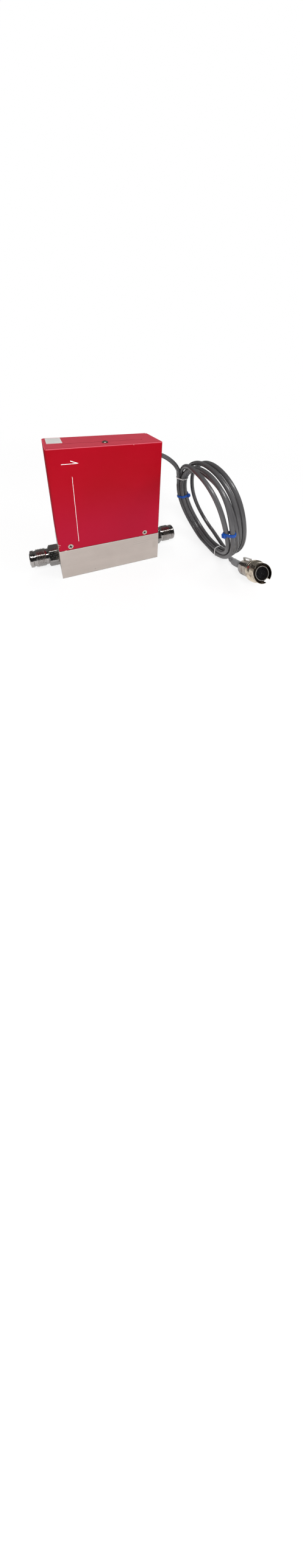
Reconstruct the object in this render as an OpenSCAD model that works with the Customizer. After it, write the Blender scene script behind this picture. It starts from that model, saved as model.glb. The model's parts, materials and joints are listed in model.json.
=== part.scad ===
// Mass flow controller with a captive cable, coil and bayonet plug.
// +X is the direction of flow, -Y the front, +Z up, the origin is under the middle of the block.

/* [Flow block] */
// Width of the block and cover along the flow
block_w = 125; // [115:0.5:135]
// Depth of the block and cover
block_d = 51; // [48:0.5:60]
// Height of the visible part of the block
block_h = 39; // [37:0.5:45]
// Height of the ports above the underside
port_z = 19.5; // [18:0.5:21]
// Radius of the flow bore behind the ports
flow_r = 6.5; // [5:0.1:7]
// Spacing of the mounting holes along the flow
mount_dx = 90; // [60:1:95]
// Spacing of the mounting holes across the flow
mount_dy = 30; // [20:1:34]

/* [Connectors] */
// Length from the block's face to the connector's face
fitting_l = 33.5; // [32:0.5:40]
// Radius over the connector's thread
thread_r = 11.1; // [10.8:0.1:12]
// Radius of the connector's bore
fitting_bore_r = 4.6; // [3:0.1:5.5]

/* [Cover] */
// Height of the cover
cover_h = 119; // [117:0.5:135]
// Thickness of the cover's sheet
sheet = 1.3; // [1:0.1:1.5]
// Outer radius of the bent edges
bend_r = 2.2; // [1.8:0.1:3]
// Depth position of the seam between the two shells
seam_y = -6; // [-8:0.5:-5]
// Height of the side walls' lower edge above the block
side_rise = 9; // [8:0.5:10]

/* [Cable] */
// Diameter of the cable
cable_d = 5.5; // [5:0.1:6]
// Long semi-axis of the coil's middle line
coil_a = 71.4; // [68:0.2:74]
// Short semi-axis of the coil's middle line
coil_b = 62.8; // [60:0.2:65]

/* [Plug] */
// Radius of the coupling ring's front tube
ring_r = 11.6; // [11.3:0.1:12]
// Radius of the coupling ring's flange
flange_r = 12.9; // [12.6:0.1:13.5]
// Number of sockets around the middle one
sockets = 6; // [4:1:7]

/* [Hidden] */
$fn = 48;

// block
half_w = block_w / 2;
half_d = block_d / 2;
step_top = block_h + 13;
top_z = block_h + cover_h;
side_z = block_h + side_rise;
spigot_r = 8;
spigot_l = 12;
gasket_r = 10;
gasket_t = 1;
mount_r = 2;
mount_l = 8;

// cover screws
screw_z = block_h + 4.7;
screw_xs = [-49, 43];
screw_head_r = 3;
screw_shank_r = 1.5;
head_h = 1.2;
top_screw_y = -11.5;
tab_t = 1.4;
flange_t = 1.5;
under_top = top_z - sheet;
label_t = 0.1;
rating_x = 1.8;
rating_drop = 56.6;
rating_w = 54.5;
rating_h = 50;
relief_r = 1;
notch_l = 4.2;
cable_hole_r = 4.2;
top_hole_r = 3;
far = 100;
seam_gap = 0.2;
tab_w = block_w - 41;

// sensor
inner_y = half_d - sheet;
sensor_w = block_w - 61;
sensor_x = 8.5 - half_w + sensor_w / 2;
tap_span = sensor_w - 16;
tap_xs = [sensor_x - tap_span / 2, sensor_x + tap_span / 2];
bypass_l = tap_span - 8;
throat_x = tap_xs[1] + 9;
throat_r = 3;
tap_r = 1;
sensor_d = block_d - 31;
sensor_screw_x = sensor_w / 2 - 3;
sensor_screw_y = sensor_d / 2 - 3;
can_w = sensor_w - 12;
can_d = sensor_d - 2;
sensor_base_h = 8;
capillary_r = 0.8;
capillary_bore_r = 0.5;
capillary_bend = 6;
capillary_top = step_top + 34;
straight = tap_span - 2 * capillary_bend;
winding_l = straight * 5 / 18;
winding_x = straight * 2 / 9;
winding_r = 1.7;

// valve
valve_x = half_w - 28.5;
riser_r = 2.5;
valve_plate = 2 * (inner_y - 7.2);
valve_screw_at = valve_plate / 2 - 3.5;
pocket_r = valve_plate / 2 - 3;
pocket_z = step_top - 8;
seat_r = pocket_r / 2;
seat_t = 3;
valve_plate_h = 8;
actuator_r = half_d - 14.5;
actuator_bore = actuator_r - 2.5;
stack_w = actuator_r - 4;
valve_bore_r = stack_w * sqrt(2) / 2 + 1.05;
actuator_top = step_top + 60;
button_pin_r = 2.5;

// inner frame and board
bracket_y = valve_plate / 2;
bracket_t = 1.5;
bracket_w = 60;
board_y = bracket_y - 5;
board_t = 1.6;
board_w = block_w - 25;
board_z0 = step_top + 14;
board_z1 = under_top - 8.7;
standoff_x = bracket_w / 2 - 4;
standoff_zs = [board_z0 + 10, board_z1 - 10];
bracket_screw_xs = [10 - bracket_w / 2, bracket_w / 2 - 16];
bracket_foot = 5.2;
bracket_foot_y = bracket_y + 4;
cap_h = 8;
// chips: left edge from the board's left edge or middle, top edge from its top, width and height
edge_chips = [[9, 13.5, 11, 7.5], [10, 22, 10, 14]];
middle_chips = [[-14, 6, 14, 6], [-12, 20, 12, 12], [8, 8, 8, 6]];
chip_t = 2.2;
cap_xs = [board_w / 2 - 42, board_w / 2 - 34];
cap_z = board_z1 - 50;
cap_r = 3.2;
header_x = board_w / 2 - 5.25;
header_w = 9.5;
header_h = 14;
header_z = board_z1 - 22;
header_d = 8.8;
header_wall = 1.2;

// cable
cable_r = cable_d / 2;
exit_z = top_z - 19.5;
exit_x = half_w + 0.8;
grommet_r = 5.2;
lead_route = [
    [exit_x, seam_y, exit_z], [66, -6, 138.3], [72, -6, 136.4], [78, -7, 133.2], [84, -7.5, 128.8],
    [90.5, -5.5, 123], [97, -0.5, 116], [102.5, 6, 109]
];
tail_route = [[157.5, -36, 8], [158, -42, 7.4], [156.5, -54, 5.8], [152, -65, 5.8], [149, -73, 7.2]];
sleeve_route = [[149, -73, 7.2], [147.6, -78, 8.6], [146, -88, 11.6], [146.4, -101.3, 15.8]];
inner_route = [
    [exit_x, seam_y, exit_z], [exit_x - 4, seam_y, exit_z], [exit_x - 9, seam_y + 0.3, exit_z - 1.4],
    [exit_x - 13.6, seam_y + 0.9, exit_z - 5.2], [header_x + 1, seam_y + 2.8, header_z + 2.6],
    [header_x, board_y - header_d - 3, header_z], [header_x, board_y - header_d + 0.9, header_z]
];

// coil: middle, the direction that faces the block, and the turn of its long axis
coil_c = [124.8, -39.1, 69.4];
coil_yaw = 183.7;
coil_pitch = -13;
coil_roll = 134.5;
coil_n = [cos(coil_pitch) * cos(coil_yaw), cos(coil_pitch) * sin(coil_yaw), sin(coil_pitch)];
coil_h = [sin(coil_yaw), -cos(coil_yaw), 0];
coil_v = cross(coil_h, coil_n);
coil_e = cos(coil_roll) * coil_h + sin(coil_roll) * coil_v;
coil_g = sin(coil_roll) * coil_h - cos(coil_roll) * coil_v;
coil_rings = 48;
coil_sides = 12;
coil_half_r = 5.4;
// angle around the coil, near side and far side of the strands across its plane
coil_span = [
    [0, -3, 27], [38, -6, 26], [76, -14, 19], [115, -23, 7], [190, -29, 0], [235, -16, 5],
    [280, -7, 17], [322, -1, 27], [360, -3, 27]
];

// plug: middle of the front rim, tilt of the axis from upright and its turn
plug_at = [141, -133, 32];
plug_tilt = 63;
plug_turn = -9.7;
ring_front = 10.2;
lip_r = 9.15;
lip_z = -11.8;
ring_rear = -15;
shell_r = 8.2;
shell_bore = 7.3;
shell_body_r = 9;
insert_r = 7.25;
shell_rear = -24;
backshell_r = 9.5;
backshell_rear = -36;
notch_turn = 303;
notch_w = 5.8;
notch_d = 6;
ramp_turns = [112, 232, 352];
ramp_r = 10.9;
ramp_w = 3.2;
flange_l = 5.2;
back_r0 = backshell_r - 0.3;
back_r1 = 10.6;
back_l = 16.61;
strap_w = 2.8;
strap_t = 0.8;
strap_r = 11.8;
strap_z = [-35.8, -21.6];
clamp_turns = [-50, -130];
clamp_z = -21.2;
clamp_screw_r = 0.8;
clamp_screw_l = 1.2;

function unit(v) = v / norm(v);

// point of a smooth curve through a, b, c and d at the fraction u between b and c
function blend(a, b, c, d, u) = 0.5 * (2 * b + (c - a) * u + (2 * a - 5 * b + 4 * c - d) * u * u
    + (3 * b - a - 3 * c + d) * u * u * u);

function smooth(p, steps) = let (q = concat([2 * p[0] - p[1]], p, [2 * p[len(p) - 1] - p[len(p) - 2]]))
    concat([for (i = [1:len(q) - 3], k = [0:steps - 1]) blend(q[i - 1], q[i], q[i + 1], q[i + 2], k / steps)],
           [p[len(p) - 1]]);

function heading(p, i) = unit(p[min(i + 1, len(p) - 1)] - p[max(i - 1, 0)]);

function ring_points(p, i, r, sides) = let (t = heading(p, i), a = unit(cross(t, [0, 0, 1])), b = cross(a, t))
    [for (k = [0:sides - 1]) p[i] + r * (cos(360 * k / sides) * a + sin(360 * k / sides) * b)];

// tube along a path, with one radius for each of its points
module tube(p, radii, sides = 10) {
    n = len(p);
    points = [for (i = [0:n - 1]) each ring_points(p, i, radii[i], sides)];
    walls = [for (i = [0:n - 2], k = [0:sides - 1])
        let (m = (k + 1) % sides)
        each [[i * sides + k, (i + 1) * sides + m, i * sides + m],
              [i * sides + k, (i + 1) * sides + k, (i + 1) * sides + m]]];
    start = [for (k = [0:sides - 1]) k];
    end = [for (k = [sides - 1:-1:0]) (n - 1) * sides + k];
    polyhedron(points, concat([start], walls, [end]));
}

module rounded_square(w, h, r) {
    square([w - 2 * r, h], center = true);
    square([w, h - 2 * r], center = true);
    for (x = [-1, 1], y = [-1, 1]) translate([x * (w / 2 - r), y * (h / 2 - r)]) circle(r);
}

module box(x0, x1, y0, y1, z0, z1) {
    translate([x0, y0, z0]) cube([x1 - x0, y1 - y0, z1 - z0]);
}

module along_x(x) {
    translate([x, 0, port_z]) rotate([0, 90, 0]) children();
}

module at_plug() {
    translate(plug_at) rotate([plug_tilt, 0, plug_turn]) children();
}

// frame on the coil at an angle: X outwards, Y across the coil's plane, Z along the cable
module on_coil(angle, across, out) {
    p = coil_c + (coil_a + out) * cos(angle) * coil_e + (coil_b + out) * sin(angle) * coil_g + across * coil_n;
    t = unit(-coil_a * sin(angle) * coil_e + coil_b * cos(angle) * coil_g);
    x = unit(cross(coil_n, t));
    multmatrix([[x[0], coil_n[0], t[0], p[0]], [x[1], coil_n[1], t[1], p[1]], [x[2], coil_n[2], t[2], p[2]]])
        children();
}

// screw along +Z with its head's top at z = 0
module screw(head_r, head_t, shank_r, shank_l, countersunk = false) {
    difference() {
        union() {
            translate([0, 0, -head_t]) cylinder(r1 = countersunk ? shank_r : head_r, r2 = head_r, h = head_t);
            translate([0, 0, -head_t - shank_l]) cylinder(r = shank_r, h = shank_l + 0.01);
        }
        for (a = [0, 90]) rotate(a)
            translate([-head_r * 0.55, -head_r * 0.11, -head_t * 0.7]) cube([head_r * 1.1, head_r * 0.22, head_t]);
    }
}

module base_block() {
    color("gainsboro") difference() {
        union() {
            box(-half_w, half_w, -half_d, half_d, 0, block_h);
            box(-half_w + sheet, half_w - sheet, -half_d + sheet, half_d - sheet, block_h - 1, step_top);
        }
        along_x(-half_w - 1) cylinder(r = flow_r, h = half_w + throat_x + 2);
        along_x(throat_x) cylinder(r = throat_r, h = valve_x - 10 - throat_x);
        translate([valve_x - 10, 0, port_z]) cylinder(r = riser_r, h = pocket_z - port_z + 1);
        translate([valve_x, 0, port_z]) cylinder(r = throat_r, h = pocket_z - port_z);
        translate([valve_x, 0, pocket_z - seat_t]) cylinder(r = seat_r, h = seat_t + 1);
        translate([valve_x, 0, pocket_z]) cylinder(r = pocket_r, h = step_top);
        along_x(valve_x) cylinder(r = throat_r, h = half_w - valve_x + 1);
        for (s = [-1, 1]) {
            along_x(s > 0 ? half_w - spigot_l : -half_w - 1) cylinder(r = spigot_r, h = spigot_l + 1);
            along_x(s > 0 ? half_w - gasket_t : -half_w - 1) cylinder(r = gasket_r, h = gasket_t + 1);
        }
        for (x = tap_xs) translate([x, 0, port_z]) cylinder(r = tap_r, h = step_top);
        for (x = [-1, 1], y = [-1, 1]) {
            translate([x * mount_dx / 2, y * mount_dy / 2, -1]) cylinder(r = mount_r, h = mount_l + 1);
            translate([valve_x + x * valve_screw_at, y * valve_screw_at, step_top - 7]) cylinder(r = 1.5, h = 8);
            translate([sensor_x + x * sensor_screw_x, y * sensor_screw_y, step_top - 6]) cylinder(r = 1, h = 7);
        }
        for (x = screw_xs, s = [-1, 1])
            translate([x, s * half_d, screw_z]) rotate([s * 90, 0, 0])
                cylinder(r = screw_shank_r, h = 11);
        for (x = bracket_screw_xs) translate([x, bracket_foot_y, step_top - 6]) cylinder(r = 1.5, h = 7);
    }
}

// face-seal connector pointing to +X, its hexagon against the block
module fitting() {
    hex_l = 12.1;
    neck_l = 3.5;
    thread_l = 10.8;
    relief_l = 2.4;
    difference() {
        along_x(half_w) {
            rotate(30) cylinder(r = 23.8 / sqrt(3), h = hex_l, $fn = 6);
            cylinder(r = 9.7, h = hex_l + neck_l + 1);
            translate([0, 0, hex_l + neck_l]) cylinder(r = thread_r, h = thread_l);
            translate([0, 0, hex_l + neck_l]) cylinder(r = 9.5, h = thread_l + relief_l + 1);
            translate([0, 0, hex_l + neck_l + thread_l + relief_l])
                cylinder(r = 10.4, h = fitting_l - 0.8 - hex_l - neck_l - thread_l - relief_l);
            translate([0, 0, fitting_l - 0.9]) cylinder(r1 = 7.6, r2 = 7, h = 0.9);
            translate([0, 0, -spigot_l]) cylinder(r = spigot_r, h = spigot_l + 1);
        }
        along_x(half_w - spigot_l - 1) cylinder(r = fitting_bore_r, h = fitting_l + spigot_l + 2);
    }
}

module outlet_fitting() {
    color("silver") fitting();
}

module inlet_fitting() {
    color("silver") rotate([0, 0, 180]) fitting();
}

module port_gaskets() {
    color("darkgray") for (s = [-1, 1]) difference() {
        along_x(s > 0 ? half_w - gasket_t : -half_w) cylinder(r = gasket_r, h = gasket_t);
        along_x(s * half_w - 3) cylinder(r = spigot_r, h = 6);
    }
}

module bypass_element() {
    color("lightgray") difference() {
        along_x(tap_xs[0] + 4) cylinder(r = flow_r - 0.05, h = bypass_l);
        along_x(tap_xs[0] + 3) for (ring = [[0, 1], [2.2, 6], [4.4, 12]], k = [0:ring[1] - 1])
            rotate(360 * k / ring[1]) translate([ring[0], 0, 0]) cylinder(r = 0.7, h = bypass_l + 2, $fn = 16);
    }
}

module sensor_base() {
    color("silver") difference() {
        box(sensor_x - sensor_w / 2, sensor_x + sensor_w / 2, -sensor_d / 2, sensor_d / 2,
            step_top, step_top + sensor_base_h);
        for (x = tap_xs) {
            translate([x, 0, step_top - 1]) cylinder(r = tap_r, h = sensor_base_h + 2);
            translate([x, 0, step_top - 1]) cylinder(r = 2.5, h = 1.8);
        }
        for (x = [-1, 1], y = [-1, 1])
            translate([sensor_x + x * sensor_screw_x, y * sensor_screw_y, step_top - 1])
                cylinder(r = 1, h = sensor_base_h + 2);
    }
}

module sensor_gaskets() {
    color("dimgray") for (x = tap_xs) translate([x, 0, step_top]) difference() {
        cylinder(r = 2.5, h = 0.8);
        translate([0, 0, -1]) cylinder(r = tap_r, h = 3);
    }
}

module sensor_tube() {
    color("silver") {
        leg = capillary_top - capillary_bend - step_top - 4;
        for (s = [0, 1]) translate([tap_xs[s], 0, step_top + 4]) {
            difference() {
                cylinder(r = capillary_r, h = leg, $fn = 24);
                translate([0, 0, -1]) cylinder(r = capillary_bore_r, h = leg + 2, $fn = 24);
            }
            translate([s == 0 ? capillary_bend : -capillary_bend, 0, leg]) rotate([90, 0, 0])
                rotate_extrude(angle = 90, start = s == 0 ? 90 : 0)
                translate([capillary_bend, 0]) difference() {
                    circle(capillary_r, $fn = 24);
                    circle(capillary_bore_r, $fn = 24);
                }
        }
        translate([tap_xs[0] + capillary_bend, 0, capillary_top]) rotate([0, 90, 0]) difference() {
            cylinder(r = capillary_r, h = straight, $fn = 24);
            translate([0, 0, -1]) cylinder(r = capillary_bore_r, h = straight + 2, $fn = 24);
        }
    }
}

module sensor_windings() {
    color("peru") for (s = [-1, 1])
        translate([sensor_x + s * winding_x - winding_l / 2, 0, capillary_top]) rotate([0, 90, 0]) difference() {
            cylinder(r = winding_r, h = winding_l, $fn = 24);
            translate([0, 0, -1]) cylinder(r = capillary_r, h = winding_l + 2, $fn = 24);
        }
}

module sensor_can() {
    z0 = step_top + sensor_base_h;
    color("lightsteelblue") difference() {
        box(sensor_x - can_w / 2, sensor_x + can_w / 2, -can_d / 2, can_d / 2, z0, capillary_top + 6);
        box(sensor_x - can_w / 2 + 1, sensor_x + can_w / 2 - 1, -can_d / 2 + 1, can_d / 2 - 1,
            z0 - 1, capillary_top + 5);
    }
}

module sensor_screws() {
    color("dimgray") for (x = [-1, 1], y = [-1, 1])
        translate([sensor_x + x * sensor_screw_x, y * sensor_screw_y, step_top + sensor_base_h + 1.4])
            screw(1.8, 1.4, 1, sensor_base_h + 5);
}

module valve_seat() {
    color("silver") translate([valve_x, 0, pocket_z - seat_t]) difference() {
        union() {
            cylinder(r = seat_r, h = seat_t);
            cylinder(r = 3, h = seat_t + 0.6);
        }
        translate([0, 0, -1]) cylinder(r = 1.2, h = seat_t + 3);
    }
}

module diaphragm() {
    color("lightgray") translate([valve_x, 0, pocket_z + 0.6]) cylinder(r = pocket_r - 0.1, h = 0.3);
}

module valve_gasket() {
    color("dimgray") translate([valve_x, 0, pocket_z]) difference() {
        cylinder(r = pocket_r - 0.1, h = 0.6);
        translate([0, 0, -1]) cylinder(r = pocket_r - 1.4, h = 3);
    }
}

module valve_body() {
    color("gainsboro") translate([valve_x, 0, 0]) difference() {
        union() {
            box(-valve_plate / 2, valve_plate / 2, -valve_plate / 2, valve_plate / 2,
                step_top, step_top + valve_plate_h);
            translate([0, 0, pocket_z + 0.9]) cylinder(r = pocket_r - 0.1, h = 8);
        }
        translate([0, 0, pocket_z]) cylinder(r = valve_bore_r, h = 30);
        for (x = [-1, 1], y = [-1, 1])
            translate([x * valve_screw_at, y * valve_screw_at, step_top - 1])
                cylinder(r = 1.5, h = valve_plate_h + 2);
    }
}

module valve_screws() {
    color("dimgray") for (x = [-1, 1], y = [-1, 1])
        translate([valve_x + x * valve_screw_at, y * valve_screw_at, step_top + valve_plate_h + 3])
            screw(2.7, 3, 1.5, 14);
}

module push_button() {
    color("silver") translate([valve_x, 0, pocket_z + 0.9]) {
        cylinder(r = valve_bore_r - 1, h = 3);
        cylinder(r = button_pin_r, h = 8);
    }
}

module piezo_stack() {
    z0 = pocket_z + 8.9;
    color("tan") translate([valve_x - stack_w / 2, -stack_w / 2, z0])
        cube([stack_w, stack_w, actuator_top - 6 - z0]);
}

module actuator_tube() {
    z0 = step_top + valve_plate_h;
    color("silver") translate([valve_x, 0, z0]) difference() {
        cylinder(r = actuator_r, h = actuator_top - z0);
        translate([0, 0, -1]) cylinder(r = actuator_bore, h = actuator_top - z0 + 2);
    }
}

module actuator_cap() {
    color("dimgray") translate([valve_x, 0, actuator_top - 6]) difference() {
        union() {
            cylinder(r = actuator_bore - 0.05, h = 6);
            translate([0, 0, 6]) cylinder(r = actuator_r - 5, h = 4);
        }
        translate([-4, -0.6, 8.5]) cube([8, 1.2, 2]);
    }
}

module bracket() {
    y1 = bracket_y + bracket_t;
    z1 = under_top - tab_t - 0.1;
    color("gainsboro") difference() {
        union() {
            box(-bracket_w / 2, bracket_w / 2, bracket_y, y1, step_top, z1);
            box(-bracket_w / 2, bracket_w / 2, bracket_y, y1 + bracket_foot, step_top, step_top + flange_t);
            box(-9, 9, top_screw_y - 6, y1, z1 - flange_t, z1);
        }
        for (x = bracket_screw_xs) translate([x, bracket_foot_y, step_top - 1]) cylinder(r = 1.6, h = 4);
        for (x = [-1, 1], z = standoff_zs)
            translate([x * standoff_x, bracket_y - 1, z]) rotate([-90, 0, 0]) cylinder(r = 1.1, h = 4);
        translate([0, top_screw_y, z1 - 4]) cylinder(r = screw_shank_r, h = 6);
    }
}

module bracket_screws() {
    color("dimgray") for (x = bracket_screw_xs)
        translate([x, bracket_foot_y, step_top + flange_t + 1.6]) screw(2.4, 1.6, 1.5, 7);
}

module board_standoffs() {
    color("gold") for (x = [-1, 1], z = standoff_zs)
        translate([x * standoff_x, board_y + board_t, z]) rotate([-90, 0, 0]) difference() {
            cylinder(r = 2.5, h = bracket_y - board_y - board_t);
            translate([0, 0, -1]) cylinder(r = 1.1, h = 8);
        }
}

module board_screws() {
    color("dimgray") for (x = [-1, 1], z = standoff_zs)
        translate([x * standoff_x, board_y - 1.3, z]) rotate([90, 0, 0]) screw(2.2, 1.3, 1.1, 6.2);
}

module control_board() {
    color("darkgreen") difference() {
        box(-board_w / 2, board_w / 2, board_y, board_y + board_t, board_z0, board_z1);
        for (x = [-1, 1], z = standoff_zs)
            translate([x * standoff_x, board_y - 1, z]) rotate([-90, 0, 0]) cylinder(r = 1.2, h = 4);
    }
}

module board_chips() {
    color("black") {
        for (group = [[edge_chips, -board_w / 2], [middle_chips, 0]], c = group[0])
            box(group[1] + c[0], group[1] + c[0] + c[2], board_y - chip_t, board_y,
                board_z1 - c[1] - c[3], board_z1 - c[1]);
        for (x = cap_xs) translate([x, board_y, cap_z]) rotate([90, 0, 0]) cylinder(r = cap_r, h = cap_h);
    }
}

module board_header() {
    color("ivory") difference() {
        box(header_x - header_w / 2, header_x + header_w / 2, board_y - header_d, board_y,
            header_z - header_h / 2, header_z + header_h / 2);
        box(header_x - header_w / 2 + header_wall, header_x + header_w / 2 - header_wall,
            board_y - header_d - 1, board_y - header_d + 1,
            header_z - header_h / 2 + header_wall, header_z + header_h / 2 - header_wall);
    }
}

module inner_cable() {
    p = smooth(inner_route, 3);
    color("dimgray") tube(p, [for (i = p) cable_r]);
}

// closed box with bent edges, its walls set in by t
module cover_form(t) {
    intersection() {
        linear_extrude(2 * far) rounded_square(block_w - 2 * t, block_d - 2 * t, bend_r - t);
        for (w = [[block_w, 0], [block_d, 90]])
            rotate([90, 0, w[1]]) linear_extrude(2 * far, center = true)
            translate([0, (top_z - t) / 2]) rounded_square(w[0] - 2 * t, top_z - t, bend_r - t);
    }
}

// the whole cover before the seam parts it
module cover_sheet() {
    difference() {
        cover_form(0);
        cover_form(sheet);
        box(-far, far, -far, far, -1, block_h);
        for (s = [-1, 1]) {
            box(s > 0 ? half_w - bend_r : -far, s > 0 ? far : bend_r - half_w, -inner_y, inner_y, 0, side_z);
            for (m = [0, 1]) mirror([0, m, 0]) translate([s * half_w, inner_y - notch_l, side_z])
                rotate([-90, 0, 0]) cylinder(r = relief_r, h = far);
        }
        for (x = screw_xs, s = [-1, 1]) translate([x, s * half_d, screw_z]) rotate([s * 90, 0, 0]) {
            translate([0, 0, -3]) cylinder(r = screw_shank_r + 0.1, h = 8);
            translate([0, 0, -0.1]) cylinder(r1 = screw_head_r + 0.3, r2 = screw_shank_r, h = head_h + 0.2);
        }
        for (s = [-1, 1]) translate([s * (half_w - 18.5), seam_y, top_z - 5]) cylinder(r = relief_r, h = 10);
        translate([half_w - 6, seam_y, exit_z]) rotate([0, 90, 0]) cylinder(r = cable_hole_r, h = 10);
        translate([0, top_screw_y, top_z - 5]) cylinder(r = top_hole_r, h = 10);
    }
}

module front_cover() {
    color("crimson") difference() {
        cover_sheet();
        box(-far, far, seam_y - seam_gap / 2, far, 0, 2 * far);
    }
}

module rear_cover() {
    color("crimson") {
        difference() {
            cover_sheet();
            box(-far, far, -far, seam_y + seam_gap / 2, 0, 2 * far);
        }
        difference() {
            union() {
                box(-tab_w / 2, tab_w / 2, top_screw_y - 5, seam_y + 2, under_top - tab_t - 0.1, under_top - 0.1);
                box(-tab_w / 2, tab_w / 2, seam_y + seam_gap / 2, seam_y + 2,
                    under_top - tab_t - 0.1, under_top + 0.1);
            }
            translate([0, top_screw_y, under_top - 4]) cylinder(r = screw_shank_r + 0.1, h = 6);
        }
    }
}

module cover_screw(side, x) {
    translate([x, side * half_d, screw_z]) rotate([side * -90, 0, 0])
        screw(screw_head_r, head_h, screw_shank_r, 8, countersunk = true);
}

module front_cover_screws() {
    color("silver") for (x = screw_xs) cover_screw(-1, x);
}

module rear_cover_screws() {
    color("silver") for (x = screw_xs) cover_screw(1, x);
}

module top_screw() {
    color("dimgray") translate([0, top_screw_y, under_top + 0.9]) screw(2.6, 1, screw_shank_r, 5);
}

module rating_label() {
    color("whitesmoke") translate([rating_x, half_d, top_z - rating_drop]) rotate([-90, 0, 0])
        linear_extrude(label_t) rounded_square(rating_w, rating_h, 3);
}

module top_label() {
    color("whitesmoke") translate([11.5 - half_w, (seam_y + half_d) / 2 + 1.05, top_z])
        linear_extrude(label_t) rounded_square(16, half_d - seam_y - 5.5, 0.8);
}

module cable_grommet() {
    color("black") translate([half_w, seam_y, exit_z]) rotate([0, 90, 0]) difference() {
        union() {
            cylinder(r = grommet_r, h = 0.8);
            translate([0, 0, -sheet - 1]) cylinder(r = cable_hole_r - 0.05, h = sheet + 1.5);
            translate([0, 0, -sheet - 2]) cylinder(r = grommet_r, h = 2);
        }
        translate([0, 0, -10]) cylinder(r = cable_r, h = 20);
    }
}

module cable_lead() {
    p = smooth(lead_route, 3);
    color("gray") tube(p, [for (i = p) cable_r]);
}

// one closed ring with the outer shape of all the turns
module cable_coil() {
    function lower(a) = lookup(a, [for (s = coil_span) [s[0], s[1]]]);
    function upper(a) = lookup(a, [for (s = coil_span) [s[0], s[2]]]);
    points = [for (i = [0:coil_rings - 1], k = [0:coil_sides - 1])
        let (a = 360 * i / coil_rings, b = 360 * k / coil_sides,
             mid = (upper(a) + lower(a)) / 2, half = (upper(a) - lower(a)) / 2,
             r = coil_half_r * cos(b), nu = mid + half * sin(b))
        coil_c + (coil_a + r) * cos(a) * coil_e + (coil_b + r) * sin(a) * coil_g + nu * coil_n];
    faces = [for (i = [0:coil_rings - 1], k = [0:coil_sides - 1])
        let (j = (i + 1) % coil_rings, m = (k + 1) % coil_sides)
        each [[i * coil_sides + k, j * coil_sides + m, j * coil_sides + k],
              [i * coil_sides + k, i * coil_sides + m, j * coil_sides + m]]];
    color("gray") polyhedron(points, faces);
}

module cable_tail() {
    p = smooth(tail_route, 3);
    color("gray") tube(p, [for (i = p) cable_r]);
}

// shrink sleeve in two steps, the narrow one first
module cable_sleeve() {
    p = smooth(sleeve_route, 4);
    color("darkgray") tube(p, [for (i = [0:len(p) - 1]) i < 2 ? 3.6 : 4.5]);
}

// band around a bundle and its head
module tie(angle, across, half_across, out, half_out, w, t, head) {
    on_coil(angle, across, out) {
        translate([0, 0, -w / 2]) linear_extrude(w) difference() {
            rounded_square(2 * half_out + 2 * t, 2 * half_across + 2 * t, 3.2);
            rounded_square(2 * half_out, 2 * half_across, 2.6);
        }
        translate([-half_out - head[0], half_across - head[1] / 2 - 3, -head[2] / 2]) cube(head);
    }
}

module white_tie_top() {
    color("white") tie(118, -3.6, 8.8, 0, 5.6, 1.6, 0.6, [1.6, 3, 3]);
}

module white_tie_bottom() {
    color("white") tie(255, 0.5, 9.6, -2.2, 5.6, 1.6, 0.6, [1.6, 3, 3]);
}

module blue_tie_left() {
    color("royalblue") tie(142, -4.6, 8.8, 0, 5.6, 4.6, 1, [4, 6, 6]);
}

module blue_tie_right() {
    color("royalblue") tie(322, 18.7, 8, 0, 6, 4.6, 1, [4, 6, 6]);
}

module plug_shell() {
    color("tan") at_plug() difference() {
        union() {
            translate([0, 0, shell_rear]) cylinder(r = shell_body_r, h = lip_z - shell_rear + 0.2);
            translate([0, 0, lip_z + 0.2]) cylinder(r = 9.9, h = 2);
            translate([0, 0, lip_z]) cylinder(r = shell_r, h = -lip_z - 0.8);
        }
        translate([0, 0, shell_rear - 1]) cylinder(r = shell_bore, h = -shell_rear + 2);
    }
}

module socket_places(z) {
    translate([0, 0, z]) children();
    for (k = [0:sockets - 1]) rotate(360 * k / sockets + 10) translate([4.4, 0, z]) children();
}

module plug_insert() {
    color("black") at_plug() difference() {
        translate([0, 0, -18]) cylinder(r = insert_r, h = 15);
        socket_places(-19) cylinder(r = 0.9, h = 20, $fn = 24);
    }
}

module plug_contacts() {
    color("gold") at_plug() socket_places(-16) difference() {
        cylinder(r = 0.88, h = 12.4, $fn = 24);
        translate([0, 0, 5]) cylinder(r = 0.55, h = 10, $fn = 24);
    }
}

module coupling_ring() {
    color("tan") at_plug() difference() {
        rotate_extrude() difference() {
            polygon([
                [lip_r, ring_rear], [flange_r - 0.8, ring_rear], [flange_r, ring_rear + 0.8],
                [flange_r, ring_rear + flange_l - 1], [flange_r - 0.5, ring_rear + flange_l],
                [ring_r + 0.35, ring_rear + flange_l + 0.6], [ring_r, ring_rear + flange_l + 1.2],
                [ring_r, -0.4], [ring_r - 0.4, 0], [ring_front, 0], [ring_front, lip_z], [lip_r, lip_z]
            ]);
            translate([flange_r + 0.1, ring_rear + flange_l - 1.9]) circle(0.35, $fn = 16);
        }
        rotate(notch_turn) translate([8, -notch_w / 2, -notch_d]) cube([6, notch_w, notch_d + 1]);
        for (a = ramp_turns) rotate(a) translate([8, -ramp_w / 2, lip_z + 2])
            cube([ramp_r - 8, ramp_w, 20]);
    }
}

module spring_washer() {
    color("silver") at_plug() translate([0, 0, ring_rear - 0.35]) difference() {
        cylinder(r = 10.6, h = 0.3);
        translate([0, 0, -1]) cylinder(r = shell_body_r, h = 3);
    }
}

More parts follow.
